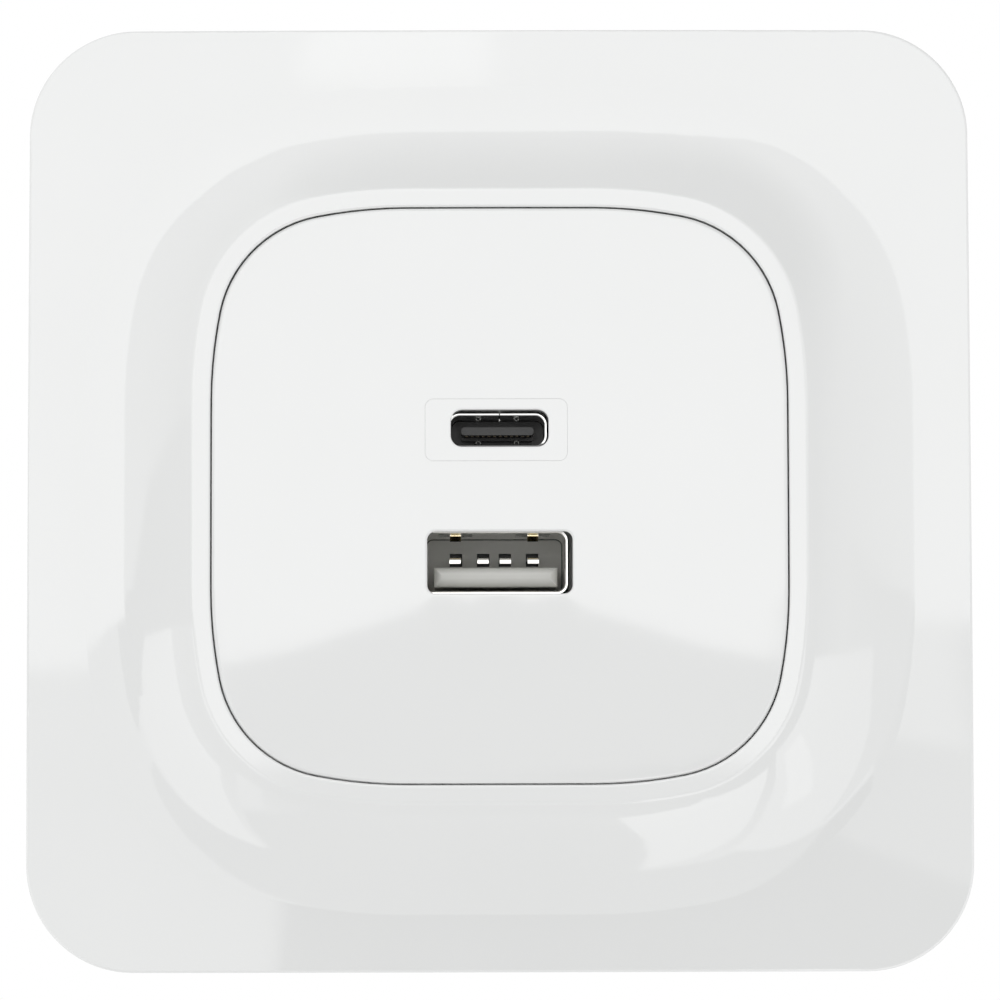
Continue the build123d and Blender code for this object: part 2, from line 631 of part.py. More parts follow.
# USB-C shell: rounded tube with a seam and four pierced dimples
with BuildPart() as usb_c_shell:
    with BuildSketch(at_height(USB_C_SHELL_BACK)):
        with Locations(USB_C_SEAT):
            usb_c_outline(0)
            usb_c_outline(-USB_C_SHEET, Mode.SUBTRACT)
    extrude(amount=USB_C_SHELL_LENGTH)
    usb_c_mouth = usb_c_shell.faces().sort_by(Axis.Y)[0]
    fillet(usb_c_mouth.inner_wires()[0].edges(), USB_C_MOUTH_ROUND)
    with BuildSketch(at_height(SHELL_FRONT - USB_C_SEAM_LENGTH)):
        with Locations((USB_C_SHIFT + USB_C_SEAM_SHIFT, USB_C_LEVEL + USB_C_OUTER_HEIGHT / 2)):
            Rectangle(USB_C_SEAM, 4 * USB_C_SHEET)
    extrude(amount=USB_C_SEAM_LENGTH, mode=Mode.SUBTRACT)
    dimple_rise = USB_C_INNER_HEIGHT / 2 - USB_C_DIMPLE_DEPTH
    with Locations((USB_C_SHIFT, USB_C_DIMPLE_SETBACK - SHELL_FRONT, USB_C_LEVEL)):
        with Locations(*[(s * USB_C_DIMPLE_AT, 0, up * dimple_rise) for s in (1, -1) for up in (1, -1)]):
            Sphere(USB_C_DIMPLE_RADIUS)
            Cylinder(USB_C_DIMPLE_BORE, 4 * USB_C_DIMPLE_RADIUS, rotation=(90, 0, 0), mode=Mode.SUBTRACT)
finish_part(usb_c_shell, "usb_c_shell")

# USB-C insulator: foot on the board, back wall in the shell and stepped tongue
with BuildPart() as usb_c_insulator:
    with BuildSketch(at_height(BOARD_FRONT)):
        with Locations(USB_C_SEAT):
            usb_c_outline(USB_C_BASE_MARGIN)
    extrude(amount=USB_C_SHELL_BACK - BOARD_FRONT)
    with BuildSketch(at_height(USB_C_SHELL_BACK)):
        with Locations(USB_C_SEAT):
            usb_c_outline(-USB_C_SHEET - FIT_GAP)
    extrude(amount=USB_C_TONGUE_BACK - USB_C_SHELL_BACK)
    with BuildSketch(at_height(USB_C_TONGUE_BACK)):
        with Locations(USB_C_SEAT):
            RectangleRounded(USB_C_TONGUE_WIDTH, USB_C_STEP_THICK, USB_C_TONGUE_CORNER)
    extrude(amount=USB_C_STEP_LENGTH)
    with BuildSketch(at_height(USB_C_TONGUE_BACK)):
        with Locations(USB_C_SEAT):
            RectangleRounded(USB_C_TONGUE_WIDTH, USB_C_TONGUE_THICK, USB_C_TONGUE_CORNER)
    extrude(amount=USB_C_TONGUE_LENGTH)
finish_part(usb_c_insulator, "usb_c_insulator")

# USB-C contacts: strips on both faces of the tongue
with BuildPart() as usb_c_contacts:
    with BuildSketch(at_height(USB_C_TONGUE_BACK + USB_C_STEP_LENGTH)):
        with Locations(USB_C_SEAT):
            faces_apart = USB_C_TONGUE_THICK + USB_C_STRIP_THICK
            with GridLocations(USB_C_STRIP_PITCH, faces_apart, USB_C_STRIP_COUNT, 2):
                Rectangle(USB_C_STRIP_WIDTH, USB_C_STRIP_THICK)
    extrude(amount=USB_C_STRIP_LENGTH)
finish_part(usb_c_contacts, "usb_c_contacts")

# Steel yoke against the wall
with BuildPart() as mounting_yoke:
    with BuildSketch(at_height(0)) as yoke_face:
        Rectangle(YOKE_SIDE, YOKE_SIDE)
        chamfer(yoke_face.vertices(), YOKE_CORNER_CUT)
        RectangleRounded(
            TOWER_SIDE + 2 * YOKE_CLEARANCE,
            TOWER_SIDE + 2 * YOKE_CLEARANCE,
            TOWER_CORNER + YOKE_CLEARANCE,
            mode=Mode.SUBTRACT,
        )
        with GridLocations(0, BOX_SPACING, 1, 2):
            Circle(BOX_HOLE, mode=Mode.SUBTRACT)
        for start in (0, 180):
            swing = CenterArc(
                (0, 0), BOX_SPACING / 2, start - LEVEL_SLOT_SWING / 2, LEVEL_SLOT_SWING, mode=Mode.PRIVATE
            )
            SlotArc(swing, 2 * BOX_HOLE, mode=Mode.SUBTRACT)
        with GridLocations(2 * SCREW_AT, 2 * SCREW_AT, 2, 2):
            Circle(SCREW_RADIUS + SHELL_CLEARANCE, mode=Mode.SUBTRACT)
    extrude(amount=YOKE_THICK)
finish_part(mounting_yoke, "mounting_yoke")

# Module lid: flange behind the yoke and a tower through it round the receptacles
with BuildPart() as module_lid:
    with BuildSketch(at_height(LID_BACK)):
        RectangleRounded(MODULE_SIDE, MODULE_SIDE, MODULE_CORNER)
    extrude(amount=LID_THICK)
    with BuildSketch(at_height(LID_BACK)):
        RectangleRounded(TOWER_SIDE, TOWER_SIDE, TOWER_CORNER)
    extrude(amount=TOWER_TOP - LID_BACK)
    fillet(module_lid.faces().sort_by(Axis.Y)[0].edges(), TOWER_WALL / 2)
    with BuildSketch(at_height(LID_BACK)):
        inside = TOWER_SIDE - 2 * TOWER_WALL
        RectangleRounded(inside, inside, TOWER_CORNER - TOWER_WALL)
    extrude(amount=TOWER_TOP - TOWER_WALL - LID_BACK, mode=Mode.SUBTRACT)
    with BuildSketch(at_height(0)):
        with Locations(USB_A_SEAT):
            usb_a_outline(SHELL_CLEARANCE)
        with Locations(USB_C_SEAT):
            usb_c_outline(SHELL_CLEARANCE)
    extrude(amount=TOWER_TOP, mode=Mode.SUBTRACT)
    with BuildSketch(at_height(LID_BACK)):
        with GridLocations(2 * SCREW_AT, 2 * SCREW_AT, 2, 2):
            Circle(SCREW_RADIUS + SHELL_CLEARANCE)
    extrude(amount=LID_THICK, mode=Mode.SUBTRACT)
    with BuildSketch(at_height(LEG_END - HOOK_SLOT_GAP)):
        with GridLocations(TOWER_SIDE - TOWER_WALL, 0, 2, 1):
            Rectangle(2 * TOWER_WALL, LEG_WIDTH + 2 * HOOK_SLOT_GAP)
    extrude(amount=HOOK_HEIGHT + 2 * HOOK_SLOT_GAP, mode=Mode.SUBTRACT)
    with BuildSketch(at_height(BOARD_FRONT)):
        with GridLocations(2 * PAD_AT_X, 2 * PAD_AT_Z, 2, 2):
            Rectangle(PAD_SIDE, PAD_SIDE)
    extrude(amount=LID_BACK - BOARD_FRONT)
finish_part(module_lid, "module_lid")

# Rear housing with screw bosses, board ribs and the terminal opening
with BuildPart() as rear_housing:
    with BuildSketch(at_height(HOUSING_BACK)):
        RectangleRounded(MODULE_SIDE, MODULE_SIDE, MODULE_CORNER)
    extrude(amount=LID_BACK - HOUSING_BACK)
    fillet(rear_housing.faces().sort_by(Axis.Y)[-1].edges(), MODULE_EDGE_ROUND)
    with BuildSketch(at_height(HOUSING_FLOOR)):
        RectangleRounded(HOUSING_INSIDE, HOUSING_INSIDE, MODULE_CORNER - MODULE_WALL)
    extrude(amount=LID_BACK - HOUSING_FLOOR, mode=Mode.SUBTRACT)
    with BuildSketch(at_height(HOUSING_FLOOR)):
        with GridLocations(2 * SCREW_AT, 2 * SCREW_AT, 2, 2):
            Circle(BOSS_RADIUS)
    extrude(amount=LID_BACK - HOUSING_FLOOR)
    with BuildSketch(at_height(HOUSING_FLOOR)):
        with GridLocations(2 * RIB_AT, HOUSING_INSIDE - RIB_DEPTH, 2, 2):
            Rectangle(RIB_WIDTH, RIB_DEPTH)
    extrude(amount=BOARD_BACK - HOUSING_FLOOR)
    with BuildSketch(at_height(LID_BACK)):
        with GridLocations(2 * SCREW_AT, 2 * SCREW_AT, 2, 2):
            Circle(SCREW_RADIUS + FIT_GAP)
    extrude(amount=-SCREW_LENGTH, mode=Mode.SUBTRACT)
    with BuildSketch(at_height(HOUSING_BACK)):
        with Locations((0, (BLOCK_LOW + BLOCK_HIGH) / 2)):
            Rectangle(BLOCK_WIDTH + 2 * SHELL_CLEARANCE, BLOCK_HIGH - BLOCK_LOW + 2 * SHELL_CLEARANCE)
    extrude(amount=2 * MODULE_WALL, mode=Mode.SUBTRACT)
finish_part(rear_housing, "rear_housing")

# Four screws that clamp yoke, lid and housing together
with BuildPart() as housing_screws:
    with BuildSketch(at_height(YOKE_THICK - SCREW_LENGTH)):
        with GridLocations(2 * SCREW_AT, 2 * SCREW_AT, 2, 2):
            Circle(SCREW_RADIUS)
    extrude(amount=SCREW_LENGTH)
    with BuildSketch(at_height(YOKE_THICK)):
        with GridLocations(2 * SCREW_AT, 2 * SCREW_AT, 2, 2):
            Circle(SCREW_HEAD_RADIUS)
    extrude(amount=SCREW_HEAD_HEIGHT)
    fillet(housing_screws.edges().group_by(Axis.Y)[0], SCREW_HEAD_ROUND)
    with BuildSketch(at_height(YOKE_THICK + SCREW_HEAD_HEIGHT - CROSS_DEPTH)):
        with GridLocations(2 * SCREW_AT, 2 * SCREW_AT, 2, 2):
            Rectangle(CROSS_LENGTH, CROSS_WIDTH)
            Rectangle(CROSS_WIDTH, CROSS_LENGTH)
    extrude(amount=CROSS_DEPTH, mode=Mode.SUBTRACT)
finish_part(housing_screws, "housing_screws")

# Circuit board with slots for the terminal pins
with BuildPart() as circuit_board:
    with BuildSketch(at_height(BOARD_BACK)) as board_face:
        Rectangle(BOARD_SIDE, BOARD_SIDE)
        chamfer(board_face.vertices(), BOARD_CUT)
        with Locations((POLE_AT, BAR_LOW + BAR_THICK / 2), (-POLE_AT, BAR_LOW + BAR_THICK / 2)):
            Rectangle(PIN_WIDTH + 2 * PIN_CLEARANCE, BAR_THICK + 2 * PIN_CLEARANCE, mode=Mode.SUBTRACT)
    extrude(amount=BOARD_THICK)
finish_part(circuit_board, "circuit_board")

# Mains terminal block: two poles, each with a wire entry and a button slot
with BuildPart() as terminal_block:
    with BuildSketch(at_height(BLOCK_BACK)):
        with Locations((0, (BLOCK_LOW + BLOCK_HIGH) / 2)):
            Rectangle(BLOCK_WIDTH, BLOCK_HIGH - BLOCK_LOW)
    extrude(amount=BOARD_BACK - BLOCK_BACK)
    fillet(terminal_block.faces().sort_by(Axis.Y)[-1].edges(), BLOCK_EDGE_ROUND)
    with BuildSketch(at_height(CAVITY_BACK)):
        with Locations(*[(s * POLE_AT, (CAVITY_LOW + CAVITY_HIGH) / 2) for s in (1, -1)]):
            Rectangle(POLE_WIDTH, CAVITY_HIGH - CAVITY_LOW)
    extrude(amount=BOARD_BACK - CAVITY_BACK, mode=Mode.SUBTRACT)
    with BuildSketch(at_height(BLOCK_BACK)):
        with Locations((POLE_AT, WIRE_AT), (-POLE_AT, WIRE_AT)):
            Circle(WIRE_RADIUS)
    extrude(amount=BLOCK_FACE, mode=Mode.SUBTRACT)
    chamfer(terminal_block.edges().filter_by(GeomType.CIRCLE).group_by(Axis.Y)[-1], WIRE_FUNNEL)
    with BuildSketch(at_height(BLOCK_BACK)):
        with Locations((POLE_AT, BUTTON_AT), (-POLE_AT, BUTTON_AT)):
            Rectangle(BUTTON_WIDTH + 2 * BUTTON_GAP, BUTTON_HEIGHT + 2 * BUTTON_GAP)
    extrude(amount=BLOCK_FACE, mode=Mode.SUBTRACT)
finish_part(terminal_block, "terminal_block")


def ramp_back(height_up):
    """Height of the back face of the spring's ramp at a place up the block."""
    middle = SPRING_RAMP_HEIGHT + (height_up - SPRING_RAMP) * math.tan(SPRING_TURN)
    return middle - SPRING_THICK / 2 / math.cos(SPRING_TURN)


# Release buttons, clamp springs and contact bars of the two poles
for pole, pole_x in (("live", -POLE_AT), ("neutral", POLE_AT)):
    with BuildPart() as release_button:
        button_low = BUTTON_AT - BUTTON_HEIGHT / 2
        button_high = BUTTON_AT + BUTTON_HEIGHT / 2
        with BuildSketch(side_plane(pole_x - BUTTON_WIDTH / 2)):
            with BuildLine():
                Polyline(
                    (button_low, BLOCK_BACK - BUTTON_PROUD),
                    (button_high, BLOCK_BACK - BUTTON_PROUD),
                    (button_high, ramp_back(button_high) - NOSE_GAP),
                    (button_low, ramp_back(button_low) - NOSE_GAP),
                    close=True,
                )
            make_face()
        extrude(amount=BUTTON_WIDTH)
        with BuildSketch(at_height(BLOCK_BACK - BUTTON_PROUD)):
            with Locations((pole_x, BUTTON_AT)):
                Rectangle(BUTTON_WIDTH, BUTTON_GROOVE_WIDTH)
        extrude(amount=BUTTON_GROOVE_DEPTH, mode=Mode.SUBTRACT)
        with BuildSketch(at_height(CAVITY_BACK + STOP_GAP)):
            with Locations((pole_x, BUTTON_AT)):
                Rectangle(BUTTON_WIDTH + 2 * BUTTON_FLANGE, BUTTON_HEIGHT)
        extrude(amount=BUTTON_FLANGE_THICK)
    finish_part(release_button, f"release_button_{pole}")

    with BuildPart() as clamp_spring:
        with BuildLine(side_plane(pole_x)) as spring_path:
            leg = Line((SPRING_LEG, BOARD_BACK - SPRING_THICK), (SPRING_LEG, SPRING_BEND_HEIGHT))
            bend = JernArc(leg @ 1, leg % 1, SPRING_BEND, 90 + SPRING_ANGLE)
            PolarLine(bend @ 1, SPRING_RAMP_LENGTH, SPRING_ANGLE)
        with BuildSketch(at_height(BOARD_BACK - SPRING_THICK)):
            with Locations((pole_x, SPRING_LEG)):
                Rectangle(SPRING_WIDTH, SPRING_THICK)
        sweep(path=spring_path.wire())
    finish_part(clamp_spring, f"clamp_spring_{pole}")

    with BuildPart() as contact_bar:
        with BuildSketch(at_height(CAVITY_BACK + SPRING_THICK)):
            with Locations((pole_x, BAR_LOW + BAR_THICK / 2)):
                Rectangle(BAR_WIDTH, BAR_THICK)
        extrude(amount=BOARD_BACK - CAVITY_BACK - SPRING_THICK)
        with BuildSketch(at_height(BOARD_BACK)):
            with Locations((pole_x, BAR_LOW + BAR_THICK / 2)):
                Rectangle(PIN_WIDTH, BAR_THICK)
        extrude(amount=BOARD_THICK - PIN_SHORT)
    finish_part(contact_bar, f"contact_bar_{pole}")

# Transformer: two core halves, bobbin with feet on the board, and the taped winding
COIL_X, COIL_Z = TRANSFORMER_AT
COIL_HEIGHT = BOARD_BACK - COIL_LIFT - WINDING_HEIGHT / 2 - BOBBIN_WALL
CORE_WINDOW = CORE_LENGTH - 2 * CORE_BACK
CORE_WINDOW_WIDTH = (CORE_WIDTH - 2 * CORE_LEG - CORE_MIDDLE) / 2
BOBBIN_LENGTH = CORE_WINDOW - 2 * FIT_GAP
BOBBIN_WIDTH = CORE_WIDTH - 2 * CORE_LEG - 4 * FIT_GAP
COIL_START = COIL_X - BOBBIN_LENGTH / 2
with BuildPart() as transformer_core:
    with BuildSketch(at_height(COIL_HEIGHT - CORE_THICK / 2)):
        with Locations((COIL_X, COIL_Z)):
            Rectangle(CORE_LENGTH, CORE_WIDTH)
            with GridLocations(0, CORE_MIDDLE + CORE_WINDOW_WIDTH, 1, 2):
                Rectangle(CORE_WINDOW, CORE_WINDOW_WIDTH, mode=Mode.SUBTRACT)
            Rectangle(FIT_GAP, CORE_WIDTH, mode=Mode.SUBTRACT)
    extrude(amount=CORE_THICK)
finish_part(transformer_core, "transformer_core")

with BuildPart() as transformer_bobbin:
    with BuildSketch(side_plane(COIL_START)):
        with Locations((COIL_Z, COIL_HEIGHT)):
            Rectangle(CORE_MIDDLE + 2 * BOBBIN_WALL, CORE_THICK + 2 * BOBBIN_WALL)
    extrude(amount=BOBBIN_LENGTH)
    for start in (COIL_START, COIL_START + BOBBIN_LENGTH - BOBBIN_FLANGE):
        with BuildSketch(side_plane(start)):
            with Locations((COIL_Z, COIL_HEIGHT)):
                Rectangle(BOBBIN_WIDTH, WINDING_HEIGHT + 2 * BOBBIN_WALL)
            with Locations((COIL_Z, (COIL_HEIGHT + BOARD_BACK) / 2)):
                Rectangle(BOBBIN_WIDTH, BOARD_BACK - COIL_HEIGHT)
        extrude(amount=BOBBIN_FLANGE)
    with BuildSketch(side_plane(COIL_START)):
        with Locations((COIL_Z, COIL_HEIGHT)):
            Rectangle(CORE_MIDDLE + 2 * FIT_GAP, CORE_THICK + 2 * FIT_GAP)
    extrude(amount=BOBBIN_LENGTH, mode=Mode.SUBTRACT)
finish_part(transformer_bobbin, "transformer_bobbin")

with BuildPart() as transformer_winding:
    with BuildSketch(side_plane(COIL_START + BOBBIN_FLANGE + FIT_GAP)):
        with Locations((COIL_Z, COIL_HEIGHT)):
            RectangleRounded(BOBBIN_WIDTH - 2 * FIT_GAP, WINDING_HEIGHT, WINDING_ROUND)
            Rectangle(
                CORE_MIDDLE + 2 * BOBBIN_WALL + 2 * FIT_GAP,
                CORE_THICK + 2 * BOBBIN_WALL + 2 * FIT_GAP,
                mode=Mode.SUBTRACT,
            )
    extrude(amount=BOBBIN_LENGTH - 2 * BOBBIN_FLANGE - 2 * FIT_GAP)
finish_part(transformer_winding, "transformer_winding")


def standing_cans(name, places, radius, length):
    """Electrolytic cans standing on the back of the board, each with a crimp groove."""
    with BuildPart() as cans:
        with BuildSketch(at_height(BOARD_BACK - length)):
            with Locations(*places):
                Circle(radius)
        extrude(amount=length)
        fillet(cans.edges().group_by(Axis.Y)[-1], CAP_GROOVE)
        with BuildSketch(at_height(BOARD_BACK - CAP_GROOVE_AT)):
            with Locations(*places):
                Circle(radius)
                Circle(radius - CAP_GROOVE, mode=Mode.SUBTRACT)
        extrude(amount=2 * CAP_GROOVE, mode=Mode.SUBTRACT)
    finish_part(cans, name)


standing_cans("input_capacitors", INPUT_CAPS_AT, INPUT_CAP_RADIUS, INPUT_CAP_LENGTH)
standing_cans("output_capacitors", OUTPUT_CAPS_AT, OUTPUT_CAP_RADIUS, OUTPUT_CAP_LENGTH)


def block_part(name, size, place, height, bevel):
    """A plain moulded body on the board, from the given height forward."""
    with BuildPart() as body:
        with BuildSketch(at_height(height)):
            with Locations(place):
                Rectangle(size[0], size[1])
        extrude(amount=size[2])
        chamfer(body.edges().filter_by(Axis.Y), bevel)
    finish_part(body, name)


block_part("film_capacitor", FILM_CAP_SIZE, FILM_CAP_AT, BOARD_BACK - FILM_CAP_SIZE[2], FILM_CAP_BEVEL)
block_part("switch_chip", SWITCH_CHIP_SIZE, SWITCH_CHIP_AT, BOARD_BACK - SWITCH_CHIP_SIZE[2], CHIP_BEVEL)
block_part("bridge_rectifier", BRIDGE_SIZE, BRIDGE_AT, BOARD_FRONT, CHIP_BEVEL)
block_part("optocoupler", COUPLER_SIZE, COUPLER_AT, BOARD_FRONT, CHIP_BEVEL)
block_part("charge_controller", CONTROLLER_SIZE, CONTROLLER_AT, BOARD_FRONT, CHIP_BEVEL)

# Line choke: drum core and its winding
with BuildPart() as choke_core:
    for start, radius, length in (
        (BOARD_BACK - CHOKE_LENGTH, CHOKE_RADIUS, CHOKE_FLANGE),
        (BOARD_BACK - CHOKE_LENGTH, CHOKE_CORE_RADIUS, CHOKE_LENGTH),
        (BOARD_BACK - CHOKE_FLANGE, CHOKE_RADIUS, CHOKE_FLANGE),
    ):
        with BuildSketch(at_height(start)):
            with Locations(CHOKE_AT):
                Circle(radius)
        extrude(amount=length)
finish_part(choke_core, "choke_core")

with BuildPart() as choke_winding:
    with BuildSketch(at_height(BOARD_BACK - CHOKE_LENGTH + CHOKE_FLANGE + FIT_GAP)):
        with Locations(CHOKE_AT):
            Circle(CHOKE_RADIUS - CAP_GROOVE)
            Circle(CHOKE_CORE_RADIUS + FIT_GAP, mode=Mode.SUBTRACT)
    extrude(amount=CHOKE_LENGTH - 2 * CHOKE_FLANGE - 2 * FIT_GAP)
finish_part(choke_winding, "choke_winding")

# Mains fuse lying beside the terminal block
with BuildPart() as mains_fuse:
    with BuildSketch(Plane.XY.offset(FUSE_AT[1] - FUSE_LENGTH / 2)):
        with Locations((FUSE_AT[0], FUSE_RADIUS - BOARD_BACK)):
            Circle(FUSE_RADIUS)
    extrude(amount=FUSE_LENGTH)
    with BuildSketch(Plane.XY.offset(FUSE_AT[1] - FUSE_LENGTH / 2 + FUSE_CAP)):
        with Locations((FUSE_AT[0], FUSE_RADIUS - BOARD_BACK)):
            Circle(FUSE_RADIUS)
            Circle(FUSE_RADIUS - CAP_GROOVE / 2, mode=Mode.SUBTRACT)
    extrude(amount=FUSE_LENGTH - 2 * FUSE_CAP, mode=Mode.SUBTRACT)
finish_part(mains_fuse, "mains_fuse")

# Disc-shaped safety capacitor across the isolation gap
with BuildPart() as safety_capacitor:
    with BuildSketch(side_plane(DISC_AT[0] - DISC_THICK / 2)):
        with Locations((DISC_AT[1], BOARD_BACK - DISC_RADIUS)):
            Circle(DISC_RADIUS)
    extrude(amount=DISC_THICK)
    fillet(safety_capacitor.edges().filter_by(GeomType.CIRCLE), DISC_ROUND)
finish_part(safety_capacitor, "safety_capacitor")
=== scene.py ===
"""Looks of a flush usb wall socket: finishes of each sub-assembly, studio light and camera."""

import logging
import math
from dataclasses import dataclass
from enum import Enum

import bpy
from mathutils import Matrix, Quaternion, Vector


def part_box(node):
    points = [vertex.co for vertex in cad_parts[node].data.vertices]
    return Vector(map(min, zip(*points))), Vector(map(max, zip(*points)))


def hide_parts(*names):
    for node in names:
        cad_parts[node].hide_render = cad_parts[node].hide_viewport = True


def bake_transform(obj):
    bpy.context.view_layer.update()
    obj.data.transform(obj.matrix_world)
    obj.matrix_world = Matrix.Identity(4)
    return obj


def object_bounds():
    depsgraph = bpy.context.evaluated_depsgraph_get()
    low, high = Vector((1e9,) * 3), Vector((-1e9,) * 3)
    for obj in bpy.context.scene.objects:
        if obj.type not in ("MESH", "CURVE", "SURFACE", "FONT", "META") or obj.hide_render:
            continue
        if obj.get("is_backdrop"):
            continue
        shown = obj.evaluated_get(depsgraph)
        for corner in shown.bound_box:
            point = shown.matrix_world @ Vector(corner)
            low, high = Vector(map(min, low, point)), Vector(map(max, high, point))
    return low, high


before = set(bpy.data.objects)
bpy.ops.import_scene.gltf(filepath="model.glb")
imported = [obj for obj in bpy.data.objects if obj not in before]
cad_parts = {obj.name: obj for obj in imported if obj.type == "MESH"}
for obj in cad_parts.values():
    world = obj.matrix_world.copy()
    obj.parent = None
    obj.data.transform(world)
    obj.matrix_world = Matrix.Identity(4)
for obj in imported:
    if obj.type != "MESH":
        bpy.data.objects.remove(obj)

LOG = logging.getLogger("usb_wall_socket")
MM = 0.001
TEXTURE_LOW = 0.3
TEXTURE_HIGH = 0.7
CLOUD_DETAIL = 3.0
GRAIN_DETAIL = 4.0
BRUSH_STRETCH = 0.06
TURN_STRETCH = 0.02
SPOT_CORE = 0.8

Colour = tuple[float, float, float]
Point = tuple[float, float, float]
Socket = bpy.types.NodeSocket


def direction(azimuth: float, elevation: float) -> Vector:
    """Unit vector away from the face.

    Args:
        azimuth: Degrees to the right of straight in front.
        elevation: Degrees above straight in front.

    Returns:
        The vector.
    """
    turn, rise = math.radians(azimuth), math.radians(elevation)
    return Vector((math.sin(turn) * math.cos(rise), -math.cos(turn) * math.cos(rise), math.sin(rise)))


class Grain(Enum):
    """How a finish's surface detail is laid out."""

    MOULDED = "moulded"
    BRUSHED = "brushed"
    WOUND = "wound"
    SPECKLED = "speckled"


class Axis(Enum):
    """The way that a tone takes over."""

    DEPTH = "Y"
    HEIGHT = "Z"


@dataclass(frozen=True)
class Layer:
    """A tone that takes over along one axis of a piece, from a start to an end in the frame's metres."""

    tone: Colour
    start: float
    end: float
    axis: Axis = Axis.DEPTH


@dataclass(frozen=True)
class Spot:
    """A round patch of another tone."""

    tone: Colour
    centre: Point
    radius: float


class NodeSheet:
    """A node tree with short ways to add and join nodes."""

    def __init__(self, owner: bpy.types.Material | bpy.types.World) -> None:
        """Open the owner's node tree.

        Args:
            owner: The material or world that the nodes belong to.
        """
        owner.use_nodes = True
        self.tree = owner.node_tree

    def add(self, kind: str, **values: float | tuple[float, ...]) -> bpy.types.Node:
        """Add a node and set its input sockets by name.

        Args:
            kind: The node's Blender type.
            values: Socket values, with underscores for spaces.

        Returns:
            The new node.
        """
        node = self.tree.nodes.new(kind)
        for name, value in values.items():
            node.inputs[name.replace("_", " ")].default_value = value
        return node

    def join(self, source: Socket, target: Socket) -> None:
        """Link one socket to another."""
        self.tree.links.new(source, target)

    def lean(self, where: Socket, level: float, slope: Point) -> Socket:
        """A level that rises along a direction.

        Args:
            where: Socket of the position or direction.
            level: Value at the origin.
            slope: Rise along each axis.

        Returns:
            The value socket.
        """
        rise = self.add("ShaderNodeVectorMath")
        rise.operation = "DOT_PRODUCT"
        rise.inputs[1].default_value = slope
        total = self.add("ShaderNodeMath")
        total.inputs[1].default_value = level
        self.join(where, rise.inputs[0])
        self.join(rise.outputs["Value"], total.inputs[0])
        return total.outputs["Value"]

    def even_lean(self, where: Socket, level: float, slope: Point) -> Socket:
        """A level that changes alike towards the front and the back, and leans along the other axes.

        Args:
            where: Socket of the direction.
            level: Value where the direction has no length.
            slope: Rise to the right, away from the wall plane and upwards.

        Returns:
            The value socket.
        """
        aside, ahead, above = slope
        size = self.add("ShaderNodeVectorMath")
        size.operation = "ABSOLUTE"
        total = self.add("ShaderNodeMath")
        self.join(where, size.inputs[0])
        self.join(self.lean(where, level, (aside, 0.0, above)), total.inputs[0])
        self.join(self.lean(size.outputs["Vector"], 0.0, (0.0, ahead, 0.0)), total.inputs[1])
        return total.outputs["Value"]


